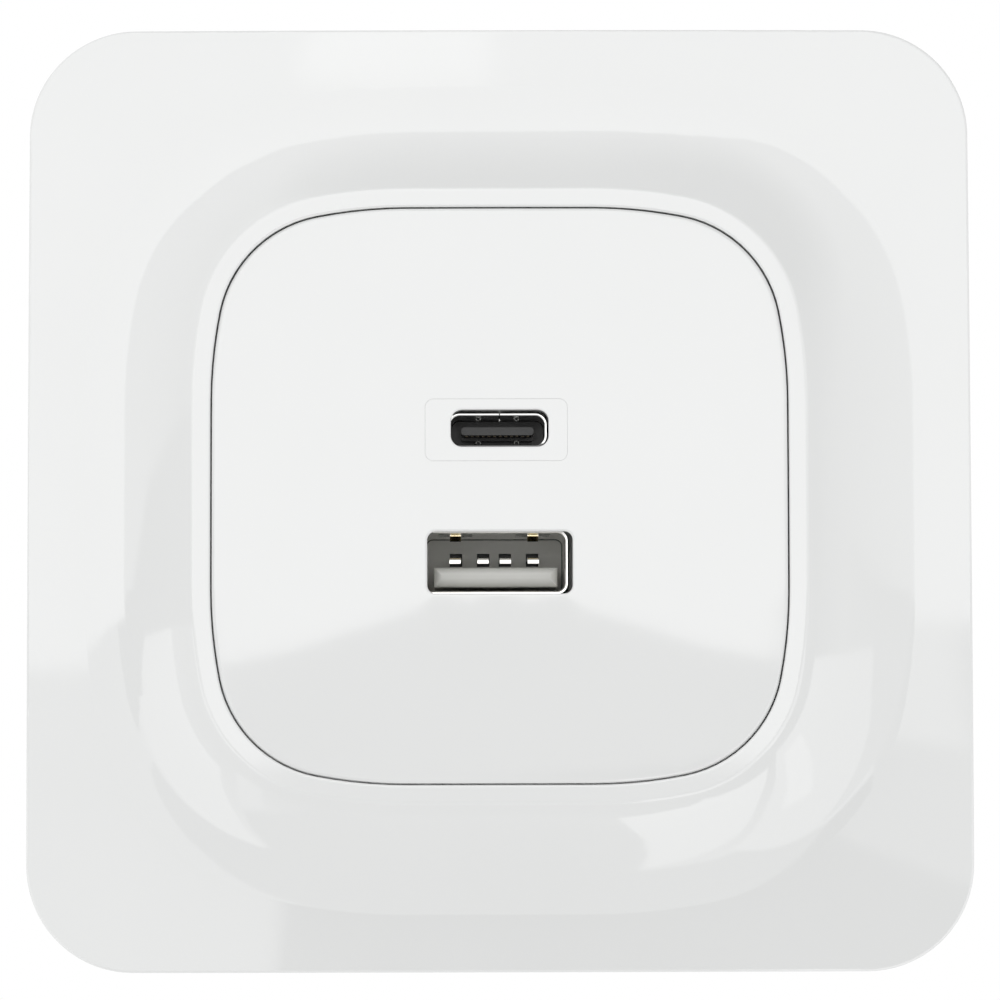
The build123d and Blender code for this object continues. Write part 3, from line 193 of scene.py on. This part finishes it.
class MaterialSheet(NodeSheet):
    """A material's node tree with its Principled shader."""

    def __init__(self, material: bpy.types.Material) -> None:
        """Open the material.

        Args:
            material: The material, still as Blender makes it.
        """
        super().__init__(material)
        self.shader = self.tree.nodes["Principled BSDF"]

    def place(self, stretch: Point) -> Socket:
        """Object coordinates in the frame's metres, stretched per axis.

        Args:
            stretch: Scale along each axis.

        Returns:
            The vector socket.
        """
        where = self.add("ShaderNodeTexCoord")
        mapping = self.add("ShaderNodeMapping", Scale=stretch)
        self.join(where.outputs["Object"], mapping.inputs["Vector"])
        return mapping.outputs["Vector"]

    def ramp(self, factor: Socket, low: Colour, high: Colour) -> Socket:
        """Colours blended between two tones by a factor.

        Args:
            factor: Socket that drives the ramp.
            low: Colour at the low end.
            high: Colour at the high end.

        Returns:
            The colour socket.
        """
        node = self.add("ShaderNodeValToRGB")
        node.color_ramp.elements[0].position = TEXTURE_LOW
        node.color_ramp.elements[1].position = TEXTURE_HIGH
        node.color_ramp.elements[0].color = (*low, 1.0)
        node.color_ramp.elements[1].color = (*high, 1.0)
        self.join(factor, node.inputs["Fac"])
        return node.outputs["Color"]

    def spread(self, factor: Socket, low: float, high: float) -> Socket:
        """A number mapped from a texture's range to a narrow band.

        Args:
            factor: Socket that drives the band.
            low: Value at the low end.
            high: Value at the high end.

        Returns:
            The value socket.
        """
        node = self.add(
            "ShaderNodeMapRange", From_Min=TEXTURE_LOW, From_Max=TEXTURE_HIGH, To_Min=low, To_Max=high,
        )
        self.join(factor, node.inputs["Value"])
        return node.outputs["Result"]

    def tint(self, colour: Socket, tone: Colour, share: Socket) -> Socket:
        """Blend a colour into another tone.

        Args:
            colour: Socket of the colour below.
            tone: The tone that goes over it.
            share: Socket of the tone's share.

        Returns:
            The blended colour socket.
        """
        blend = self.add("ShaderNodeMixRGB", Color2=(*tone, 1.0))
        self.join(share, blend.inputs["Fac"])
        self.join(colour, blend.inputs["Color1"])
        return blend.outputs["Color"]

    def add_layer(self, colour: Socket, layer: Layer) -> Socket:
        """Lay a tone over a colour along one axis.

        Args:
            colour: Socket of the colour below.
            layer: The tone and where it takes over.

        Returns:
            The blended colour socket.
        """
        where = self.add("ShaderNodeTexCoord")
        axes = self.add("ShaderNodeSeparateXYZ")
        share = self.add("ShaderNodeMapRange", From_Min=layer.start, From_Max=layer.end)
        self.join(where.outputs["Object"], axes.inputs["Vector"])
        self.join(axes.outputs[layer.axis.value], share.inputs["Value"])
        return self.tint(colour, layer.tone, share.outputs["Result"])

    def add_spot(self, colour: Socket, spot: Spot) -> Socket:
        """Lay a round spot over a colour.

        Args:
            colour: Socket of the colour around the spot.
            spot: The spot.

        Returns:
            The blended colour socket.
        """
        where = self.add("ShaderNodeTexCoord")
        gap = self.add("ShaderNodeVectorMath")
        gap.operation = "DISTANCE"
        gap.inputs[1].default_value = spot.centre
        share = self.add("ShaderNodeMapRange", From_Min=spot.radius, From_Max=SPOT_CORE * spot.radius)
        self.join(where.outputs["Object"], gap.inputs[0])
        self.join(gap.outputs["Value"], share.inputs["Value"])
        return self.tint(colour, spot.tone, share.outputs["Result"])


@dataclass(frozen=True)
class Finish:
    """One finish: two close tones, gloss and the grain that gives it life."""

    name: str
    tone: Colour
    second_tone: Colour
    roughness: float
    roughness_spread: float = 0.04
    metallic: float = 0.0
    grain: Grain = Grain.MOULDED
    grain_size: float = 0.6 * MM
    relief: float = 0.0
    cloud_size: float = 12.0 * MM
    ior: float = 1.5
    layers: tuple[Layer, ...] = ()
    spots: tuple[Spot, ...] = ()

    def stretch(self) -> Point:
        """Scale of the grain along each axis."""
        fine = 1.0 / self.grain_size
        if self.grain is Grain.BRUSHED:
            return (fine, fine * BRUSH_STRETCH, fine)
        if self.grain is Grain.WOUND:
            return (fine, fine * TURN_STRETCH, fine * TURN_STRETCH)
        return (fine, fine, fine)

    def add_colour(self, sheet: MaterialSheet) -> None:
        """Cloud the two tones into each other, and lay the layers and spots over them.

        Args:
            sheet: The material's node tree.
        """
        cloud = sheet.add("ShaderNodeTexNoise", Scale=1.0, Detail=CLOUD_DETAIL)
        size = 1.0 / self.cloud_size
        sheet.join(sheet.place((size, size, size)), cloud.inputs["Vector"])
        colour = sheet.ramp(cloud.outputs["Fac"], self.tone, self.second_tone)
        for layer in self.layers:
            colour = sheet.add_layer(colour, layer)
        for spot in self.spots:
            colour = sheet.add_spot(colour, spot)
        sheet.join(colour, sheet.shader.inputs["Base Color"])

    def add_grain(self, sheet: MaterialSheet) -> None:
        """Vary the gloss by the grain, and raise the grain where the finish has relief.

        Args:
            sheet: The material's node tree.
        """
        if self.grain is Grain.SPECKLED:
            fine = sheet.add("ShaderNodeTexVoronoi", Scale=1.0)
            detail = fine.outputs["Distance"]
        else:
            fine = sheet.add("ShaderNodeTexNoise", Scale=1.0, Detail=GRAIN_DETAIL)
            detail = fine.outputs["Fac"]
        sheet.join(sheet.place(self.stretch()), fine.inputs["Vector"])
        low, high = self.roughness, self.roughness + self.roughness_spread
        sheet.join(sheet.spread(detail, low, high), sheet.shader.inputs["Roughness"])
        if self.relief:
            bump = sheet.add("ShaderNodeBump", Strength=1.0, Distance=self.relief)
            sheet.join(detail, bump.inputs["Height"])
            sheet.join(bump.outputs["Normal"], sheet.shader.inputs["Normal"])

    def build(self) -> bpy.types.Material:
        """Make the material.

        Returns:
            The finished material.
        """
        material = bpy.data.materials.new(self.name)
        sheet = MaterialSheet(material)
        sheet.shader.inputs["Metallic"].default_value = self.metallic
        sheet.shader.inputs["IOR"].default_value = self.ior
        self.add_colour(sheet)
        self.add_grain(sheet)
        return material


class SubAssembly:
    """Solids of the frame that belong together and are dressed together."""

    def finishes(self) -> dict[Finish, tuple[str, ...]]:
        """The finish of each of the sub-assembly's nodes."""
        raise NotImplementedError

    def build(self) -> None:
        """Dress each node in its finish."""
        for finish, nodes in self.finishes().items():
            material = finish.build()
            for node in nodes:
                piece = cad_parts[node]
                piece.data.materials.clear()
                piece.data.materials.append(material)
                LOG.info("%s: %s in %s", type(self).__name__, node, finish.name)


@dataclass
class FrontMouldings(SubAssembly):
    """Frame, centre plate and port insert, all in one glossy white."""

    tone: Colour = (0.845, 0.853, 0.848)
    second_tone: Colour = (0.852, 0.86, 0.855)
    roughness: float = 0.045
    roughness_spread: float = 0.015
    ior: float = 1.75

    def finishes(self) -> dict[Finish, tuple[str, ...]]:
        """Glossy white on the three mouldings."""
        white = Finish(
            "white_plastic", self.tone, self.second_tone, self.roughness, self.roughness_spread, ior=self.ior,
        )
        return {white: ("frame", "centre_plate", "usb_c_insert")}


@dataclass
class UsbAPort(SubAssembly):
    """USB-A receptacle: folded shell, pale tongue and four contacts in windows darkened with painted shade.
    """

    window_depth: float = 1.8 * MM
    window_edge: float = 0.04 * MM
    # painted shade: near-black tone of the window pockets
    painted_window_shade: Colour = (0.004, 0.004, 0.004)
    # painted light: paler tone laid on the resin towards the back wall
    painted_wall_light: Colour = (0.9, 0.9, 0.86)
    gilt: Colour = (0.93, 0.78, 0.48)
    gilt_radius: float = 0.7 * MM
    finger_tips: tuple[Point, ...] = (
        (-3.95 * MM, -7.2 * MM, -3.7 * MM),
        (2.95 * MM, -7.2 * MM, -3.7 * MM),
    )
    grain_size: float = 0.12 * MM

    def back_wall(self) -> float:
        """Depth of the wall that the windows are cut in."""
        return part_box("usb_a_contacts")[1].y - self.window_depth

    def finishes(self) -> dict[Finish, tuple[str, ...]]:
        """Bright shell with gilt fingertips, pale resin with painted light towards its back wall and painted
        shade in the windows, and plated contacts.
        """
        wall = self.back_wall()
        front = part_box("usb_a_insulator")[0].y
        # painted light: the resin turns paler towards the back wall, standing in for light that reaches deep
        # into the port
        pale = Layer(self.painted_wall_light, front, wall)
        # painted shade: the window pockets behind the back wall are painted near black
        dark = Layer(self.painted_window_shade, wall + self.window_edge, wall + 2 * self.window_edge)
        shell = Finish(
            "shell_metal", (0.91, 0.9, 0.87), (0.95, 0.94, 0.91), 0.08, metallic=1.0, grain=Grain.BRUSHED,
            grain_size=self.grain_size, relief=0.002 * MM,
            spots=tuple(Spot(self.gilt, tip, self.gilt_radius) for tip in self.finger_tips),
        )
        resin = Finish(
            "pale_resin", (0.58, 0.58, 0.55), (0.62, 0.62, 0.59), 0.35, relief=0.002 * MM,
            layers=(pale, dark),
        )
        contact = Finish(
            "nickel_contact", (0.78, 0.77, 0.74), (0.84, 0.83, 0.8), 0.12, metallic=1.0, grain=Grain.BRUSHED,
            grain_size=self.grain_size,
        )
        return {shell: ("usb_a_shell",), resin: ("usb_a_insulator",), contact: ("usb_a_contacts",)}


@dataclass
class UsbCPort(SubAssembly):
    """USB-C receptacle: drawn shell, black tongue and its contact strips."""

    grain_size: float = 0.12 * MM
    # painted shade: dark tone laid over the lower lip of the shell
    shade_tone: Colour = (0.1, 0.1, 0.1)
    shade_height: float = 0.4 * MM
    shade_edge: float = 0.15 * MM

    def finishes(self) -> dict[Finish, tuple[str, ...]]:
        """Plated shell with painted shade along its lower wall, black resin and strips darkened with painted
        shade.
        """
        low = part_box("usb_c_shell")[0].z + self.shade_height
        # painted shade: the lower lip of the shell is darkened where it sits in shade
        shade = Layer(self.shade_tone, low, low - self.shade_edge, Axis.HEIGHT)
        shell = Finish(
            "drawn_shell", (0.78, 0.78, 0.76), (0.84, 0.84, 0.82), 0.14, metallic=1.0, grain=Grain.BRUSHED,
            grain_size=self.grain_size, relief=0.002 * MM, layers=(shade,),
        )
        resin = Finish("black_resin", (0.03, 0.03, 0.03), (0.038, 0.038, 0.038), 0.38, relief=0.002 * MM)
        # painted shade: gilt strips darkened to a dim tone for the shade inside the port
        strip = Finish(
            "gilt_contact", (0.2, 0.16, 0.1), (0.25, 0.2, 0.13), 0.25, metallic=1.0, grain=Grain.BRUSHED,
            grain_size=self.grain_size,
        )
        return {shell: ("usb_c_shell",), resin: ("usb_c_insulator",), strip: ("usb_c_contacts",)}


@dataclass
class WallMounting(SubAssembly):
    """Steel yoke on the wall and the screws that hold the charger to it."""

    flake_size: float = 1.4 * MM

    def finishes(self) -> dict[Finish, tuple[str, ...]]:
        """Zinc with a fine crystal pattern."""
        zinc = Finish(
            "zinc_steel", (0.34, 0.35, 0.36), (0.4, 0.4, 0.41), 0.3, metallic=1.0, grain=Grain.SPECKLED,
            grain_size=self.flake_size, relief=0.002 * MM,
        )
        return {zinc: ("mounting_yoke", "housing_screws")}


@dataclass
class ChargerModule(SubAssembly):
    """Moulded case behind the yoke, with the circuit board and its power parts."""

    texture_size: float = 0.35 * MM
    turn_size: float = 0.3 * MM
    chip_grain: float = 0.2 * MM

    def finishes(self) -> dict[Finish, tuple[str, ...]]:
        """The case's finish and those of the parts inside it."""
        return {**self.case_finishes(), **self.wound_finishes(), **self.small_part_finishes()}

    def case_finishes(self) -> dict[Finish, tuple[str, ...]]:
        """Fine spark texture on the case, and solder mask on the board."""
        case = Finish(
            "housing_plastic", (0.7, 0.7, 0.68), (0.73, 0.73, 0.71), 0.42, grain_size=self.texture_size,
            relief=0.012 * MM,
        )
        board = Finish("board_laminate", (0.02, 0.16, 0.07), (0.03, 0.2, 0.09), 0.3, relief=0.004 * MM)
        return {case: ("module_lid", "rear_housing"), board: ("circuit_board",)}

    def wound_finishes(self) -> dict[Finish, tuple[str, ...]]:
        """Ferrite, bobbin, taped winding and bare enamelled turns."""
        ferrite = Finish(
            "ferrite", (0.03, 0.03, 0.033), (0.05, 0.05, 0.052), 0.55, grain=Grain.SPECKLED, relief=0.01 * MM,
        )
        bobbin = Finish("bobbin_plastic", (0.02, 0.02, 0.02), (0.03, 0.03, 0.03), 0.4, relief=0.004 * MM)
        tape = Finish(
            "taped_winding", (0.75, 0.5, 0.03), (0.82, 0.58, 0.05), 0.25, grain=Grain.WOUND, relief=0.02 * MM,
        )
        turns = Finish(
            "copper_winding", (0.5, 0.2, 0.08), (0.6, 0.27, 0.12), 0.28, metallic=1.0, grain=Grain.WOUND,
            grain_size=self.turn_size, relief=0.05 * MM,
        )
        return {
            ferrite: ("transformer_core", "choke_core"),
            bobbin: ("transformer_bobbin",),
            tape: ("transformer_winding",),
            turns: ("choke_winding",),
        }

    def small_part_finishes(self) -> dict[Finish, tuple[str, ...]]:
        """Sleeved cans, film and disc capacitors, fuse and chips."""
        sleeve = Finish("can_sleeve", (0.02, 0.025, 0.05), (0.03, 0.035, 0.065), 0.25, relief=0.003 * MM)
        film = Finish("film_case", (0.6, 0.5, 0.06), (0.65, 0.55, 0.08), 0.3, relief=0.004 * MM)
        fuse = Finish("fuse_body", (0.6, 0.57, 0.48), (0.66, 0.63, 0.55), 0.25, relief=0.003 * MM)
        disc = Finish("disc_coat", (0.02, 0.1, 0.4), (0.03, 0.13, 0.46), 0.25, relief=0.01 * MM)
        chip = Finish(
            "chip_resin", (0.02, 0.02, 0.022), (0.028, 0.028, 0.03), 0.5, grain=Grain.SPECKLED,
            grain_size=self.chip_grain, relief=0.006 * MM,
        )
        return {
            sleeve: ("input_capacitors", "output_capacitors"),
            film: ("film_capacitor",),
            fuse: ("mains_fuse",),
            disc: ("safety_capacitor",),
            chip: ("bridge_rectifier", "optocoupler", "charge_controller", "switch_chip"),
        }


@dataclass
class WireTerminals(SubAssembly):
    """Terminal block with its release buttons, clamp springs and contact bars."""

    texture_size: float = 0.3 * MM
    poles: tuple[str, ...] = ("live", "neutral")
    leg_thick: float = 0.35 * MM
    bend_reach: float = 2.2 * MM

    def build(self) -> None:
        """Dress the terminals, then swap each clamp spring for a copy of it, hiding the solid one."""
        super().build()
        for pole in self.poles:
            self.flex_spring(pole)

    def flex_spring(self, pole: str) -> None:
        """Lay a copy of the solid spring in its place and hide the solid one.

        Args:
            pole: The wire that the spring clamps.
        """
        node = f"clamp_spring_{pole}"
        spring = bpy.data.objects.new(f"flexing_spring_{pole}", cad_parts[node].data.copy())
        bpy.context.scene.collection.objects.link(spring)
        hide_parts(node)
        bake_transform(spring)
        LOG.info("%s: %s bends with its button", type(self).__name__, node)

    def finishes(self) -> dict[Finish, tuple[str, ...]]:
        """Grey block, orange buttons, spring steel and copper."""
        block = Finish(
            "terminal_plastic", (0.3, 0.31, 0.32), (0.34, 0.35, 0.36), 0.4, grain_size=self.texture_size,
            relief=0.008 * MM,
        )
        button = Finish(
            "button_plastic", (0.82, 0.3, 0.04), (0.86, 0.34, 0.06), 0.32, grain_size=self.texture_size,
            relief=0.004 * MM,
        )
        spring = Finish(
            "spring_steel", (0.5, 0.5, 0.5), (0.58, 0.58, 0.57), 0.25, metallic=1.0, grain=Grain.BRUSHED,
        )
        bar = Finish(
            "copper_bar", (0.72, 0.42, 0.27), (0.78, 0.5, 0.34), 0.3, metallic=1.0, grain=Grain.BRUSHED,
        )
        return {
            block: ("terminal_block",),
            button: ("release_button_live", "release_button_neutral"),
            spring: ("clamp_spring_live", "clamp_spring_neutral"),
            bar: ("contact_bar_live", "contact_bar_neutral"),
        }


@dataclass(frozen=True)
class ReflectorCard:
    """A lit card that shows in the gloss; its corners are degrees to the right and up, seen from the face."""

    name: str
    brightness: float
    corners: tuple[tuple[float, float], ...]
    distance: float = 1.2

    def material(self) -> bpy.types.Material:
        """A plain glow.

        Returns:
            The card's material.
        """
        material = bpy.data.materials.new(self.name)
        shader = MaterialSheet(material).shader
        shader.inputs["Base Color"].default_value = (0.0, 0.0, 0.0, 1.0)
        shader.inputs["Specular IOR Level"].default_value = 0.0
        shader.inputs["Emission Color"].default_value = (1.0, 1.0, 1.0, 1.0)
        shader.inputs["Emission Strength"].default_value = self.brightness
        return material

    def build(self, target: Vector) -> None:
        """Hang the card so that only glossy surfaces see it.

        Args:
            target: The point that its corners are measured from.
        """
        mesh = bpy.data.meshes.new(self.name)
        points = [target + direction(*corner) * self.distance for corner in self.corners]
        mesh.from_pydata([tuple(point) for point in points], [], [tuple(range(len(points)))])
        mesh.materials.append(self.material())
        card = bpy.data.objects.new(self.name, mesh)
        bpy.context.scene.collection.objects.link(card)
        card.visible_camera = False
        card.visible_diffuse = False
        card.visible_shadow = False
        card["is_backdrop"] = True
        LOG.info("hung %s", self.name)


@dataclass
class Studio:
    """Pale floor, white surroundings, reflector cards and the camera."""

    target: Point = (0.04 * MM, -4.2 * MM, -0.15 * MM)
    camera_distance: float = 335.8 * MM
    camera_azimuth: float = -0.2
    camera_elevation: float = -3.3
    camera_roll: float = 0.13
    view_width: float = 90.22 * MM
    sensor: float = 36.0
    near_clip: float = 0.01
    floor_drop: float = 0.5
    floor_radius: float = 0.9
    floor_sides: int = 96
    floor_tones: tuple[Colour, Colour] = ((0.8, 0.8, 0.8), (0.82, 0.82, 0.82))
    floor_roughness: float = 0.6
    fill: float = 1.1
    fill_slope: Point = (-0.02, -0.26, 0.02)
    room: float = 0.54
    room_slope: Point = (-0.1, 0.7, 0.12)
    dim_side: Point = (0.5, 0.2, 0.84)
    dim_start: float = 0.5
    dim_end: float = 0.85
    dim_level: float = 0.1
    cards: tuple[ReflectorCard, ...] = (
        ReflectorCard("upper_card", 1.94, (
            (-42, -0.5), (-12, -0.8), (-11, -3.6), (-8.5, -3.1), (-6, -2.3), (-3, -1.5), (0, -1.2), (3, -1.4),
            (6, -2.1), (8.5, -2.9), (11, -3.4), (12, 0.3), (19, 1), (19, 20), (18, 40), (10, 49), (-12, 51),
            (-30, 46), (-40, 36), (-42, 15),
        )),
        ReflectorCard("upper_glow", 2.5, ((-5.2, 17.8), (0.0, 17.8), (0.0, 22.2), (-3.4, 22.6)), 0.95),
        ReflectorCard("left_card", 1.35, ((-78, -3), (-56, -3), (-42, -10), (-22, -39), (-74, -39))),
        ReflectorCard("right_card", 1.22, ((42, -3), (88, -7), (88, -38), (22, -38), (20, -18))),
        ReflectorCard("right_glow", 1.62, ((40, -27), (80, -27), (80, -36), (40, -36)), 0.8),
        ReflectorCard("low_right_card", 1.41, (
            (7, -40), (16, -43), (30, -44), (82, -44), (82, -70), (30, -80), (16, -62), (11, -50),
        )),
        ReflectorCard("low_left_card", 0.93, ((-82, -46), (-50, -46), (-55, -56), (-82, -56))),
        ReflectorCard("left_step", 1.01, (
            (-36, -15), (-5.6, -15), (-5.6, -8.2), (-10, -7.5), (-11, -3.6), (-12, -0.8), (-36, -0.5),
        )),
        ReflectorCard("dark_card", 0.05, ((-5.6, -8.2), (9, -7.2), (19, -8), (19, -14), (-5.6, -14))),
        ReflectorCard("low_dark_card", 0.5, (
            (-5.6, -14.2), (19, -14.2), (21, -36), (7, -39), (11, -50), (16, -62), (20, -75), (-60, -75),
            (-50, -58), (-48, -46), (-22, -40), (-36, -16), (-30, -15.2), (-5.6, -15.2),
        )),
        ReflectorCard("left_band", 0.45, (
            (-36.5, -0.7), (-42.5, -0.7), (-42.5, 0.5), (-60, 3.5), (-96, 5), (-96, -2.8), (-56, -2.8),
            (-42, -9.5), (-36.5, -12),
        )),
        ReflectorCard("right_band", 0.7, (
            (20, 1.2), (45, 1.8), (62, 2.4), (62, -4.5), (42, -2.8), (20.5, -17),
        )),
        ReflectorCard("front_band", 0.54, (
            (-11, -3.7), (-8.5, -3.2), (-6, -2.4), (-3, -1.6), (0, -1.3), (3, -1.5), (6, -2.2), (8.5, -3),
            (11, -3.5), (12, -3.3), (15.1, -3.3), (15.1, 0.3), (19, 0.9), (19.9, 0.9), (20.4, -8), (19, -7.9),
            (9, -7.1), (-5.6, -8.1), (-10, -7.4),
        )),
        ReflectorCard("right_step", 1.19, ((12, -3.2), (15, -3.2), (15, 0.4), (12.4, 0))),
    )

    def add_camera(self) -> None:
        """Set the camera a little below the face, looking slightly up."""
        data = bpy.data.cameras.new("camera")
        data.sensor_width = self.sensor
        data.lens = self.sensor * self.camera_distance / self.view_width
        camera = bpy.data.objects.new("camera", data)
        back = direction(self.camera_azimuth, self.camera_elevation)
        camera.location = Vector(self.target) + back * self.camera_distance
        level = (-back).to_track_quat("-Z", "Y")
        camera.rotation_euler = (Quaternion(-back, math.radians(self.camera_roll)) @ level).to_euler()
        data.clip_start = self.near_clip
        bpy.context.scene.collection.objects.link(camera)
        bpy.context.scene.camera = camera

    def add_floor(self) -> None:
        """Lay a pale round floor below the socket."""
        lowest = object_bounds()[0].z
        bpy.ops.mesh.primitive_circle_add(
            vertices=self.floor_sides, radius=self.floor_radius, fill_type="NGON",
            location=(0, 0, lowest - self.floor_drop),
        )
        floor = bpy.context.object
        floor.name = "floor"
        pale = Finish("pale_floor", *self.floor_tones, self.floor_roughness)
        floor.data.materials.append(pale.build())
        floor.visible_diffuse = False
        floor.visible_glossy = False
        floor.visible_shadow = False
        floor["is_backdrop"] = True

    def room_level(self, sheet: NodeSheet, where: Socket) -> Socket:
        """Strength of the room that glossy surfaces mirror, dimmed towards one side.

        Args:
            sheet: The world's node tree.
            where: Socket of the direction.

        Returns:
            The strength socket.
        """
        dim = sheet.add("ShaderNodeMapRange", From_Min=self.dim_start, From_Max=self.dim_end, To_Min=1.0)
        dim.inputs["To Max"].default_value = self.dim_level
        level = sheet.add("ShaderNodeMath")
        level.operation = "MULTIPLY"
        sheet.join(sheet.lean(where, 0.0, self.dim_side), dim.inputs["Value"])
        sheet.join(sheet.even_lean(where, self.room, self.room_slope), level.inputs[0])
        sheet.join(dim.outputs["Result"], level.inputs[1])
        return level.outputs["Value"]

    def add_surroundings(self) -> None:
        """White for the camera, a room for glossy reflections and a soft fill for the rest."""
        world = bpy.data.worlds.new("surroundings")
        bpy.context.scene.world = world
        sheet = NodeSheet(world)
        sheet.tree.nodes.clear()
        output = sheet.add("ShaderNodeOutputWorld")
        path = sheet.add("ShaderNodeLightPath")
        where = sheet.add("ShaderNodeTexCoord").outputs["Generated"]
        pale = (1.0, 1.0, 1.0, 1.0)
        fill, room, white = (sheet.add("ShaderNodeBackground", Color=pale) for _ in range(3))
        seen, shown = sheet.add("ShaderNodeMixShader"), sheet.add("ShaderNodeMixShader")
        sheet.join(sheet.even_lean(where, self.fill, self.fill_slope), fill.inputs["Strength"])
        sheet.join(self.room_level(sheet, where), room.inputs["Strength"])
        sheet.join(path.outputs["Is Glossy Ray"], seen.inputs["Fac"])
        sheet.join(fill.outputs["Background"], seen.inputs[1])
        sheet.join(room.outputs["Background"], seen.inputs[2])
        sheet.join(path.outputs["Is Camera Ray"], shown.inputs["Fac"])
        sheet.join(seen.outputs["Shader"], shown.inputs[1])
        sheet.join(white.outputs["Background"], shown.inputs[2])
        sheet.join(shown.outputs["Shader"], output.inputs["Surface"])

    def build(self) -> None:
        """Set up the whole studio."""
        self.add_floor()
        self.add_surroundings()
        for card in self.cards:
            card.build(Vector(self.target))
        self.add_camera()
        bpy.context.scene.view_settings.view_transform = "Standard"


def main() -> None:
    """Dress each sub-assembly and set up the studio."""
    logging.basicConfig(level=logging.INFO, format="%(name)s: %(message)s")
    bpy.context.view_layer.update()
    front = (FrontMouldings(), UsbAPort(), UsbCPort())
    back = (WallMounting(), ChargerModule(), WireTerminals())
    for assembly in front + back:
        assembly.build()
    Studio().build()


if __name__ == "__main__":
    main()
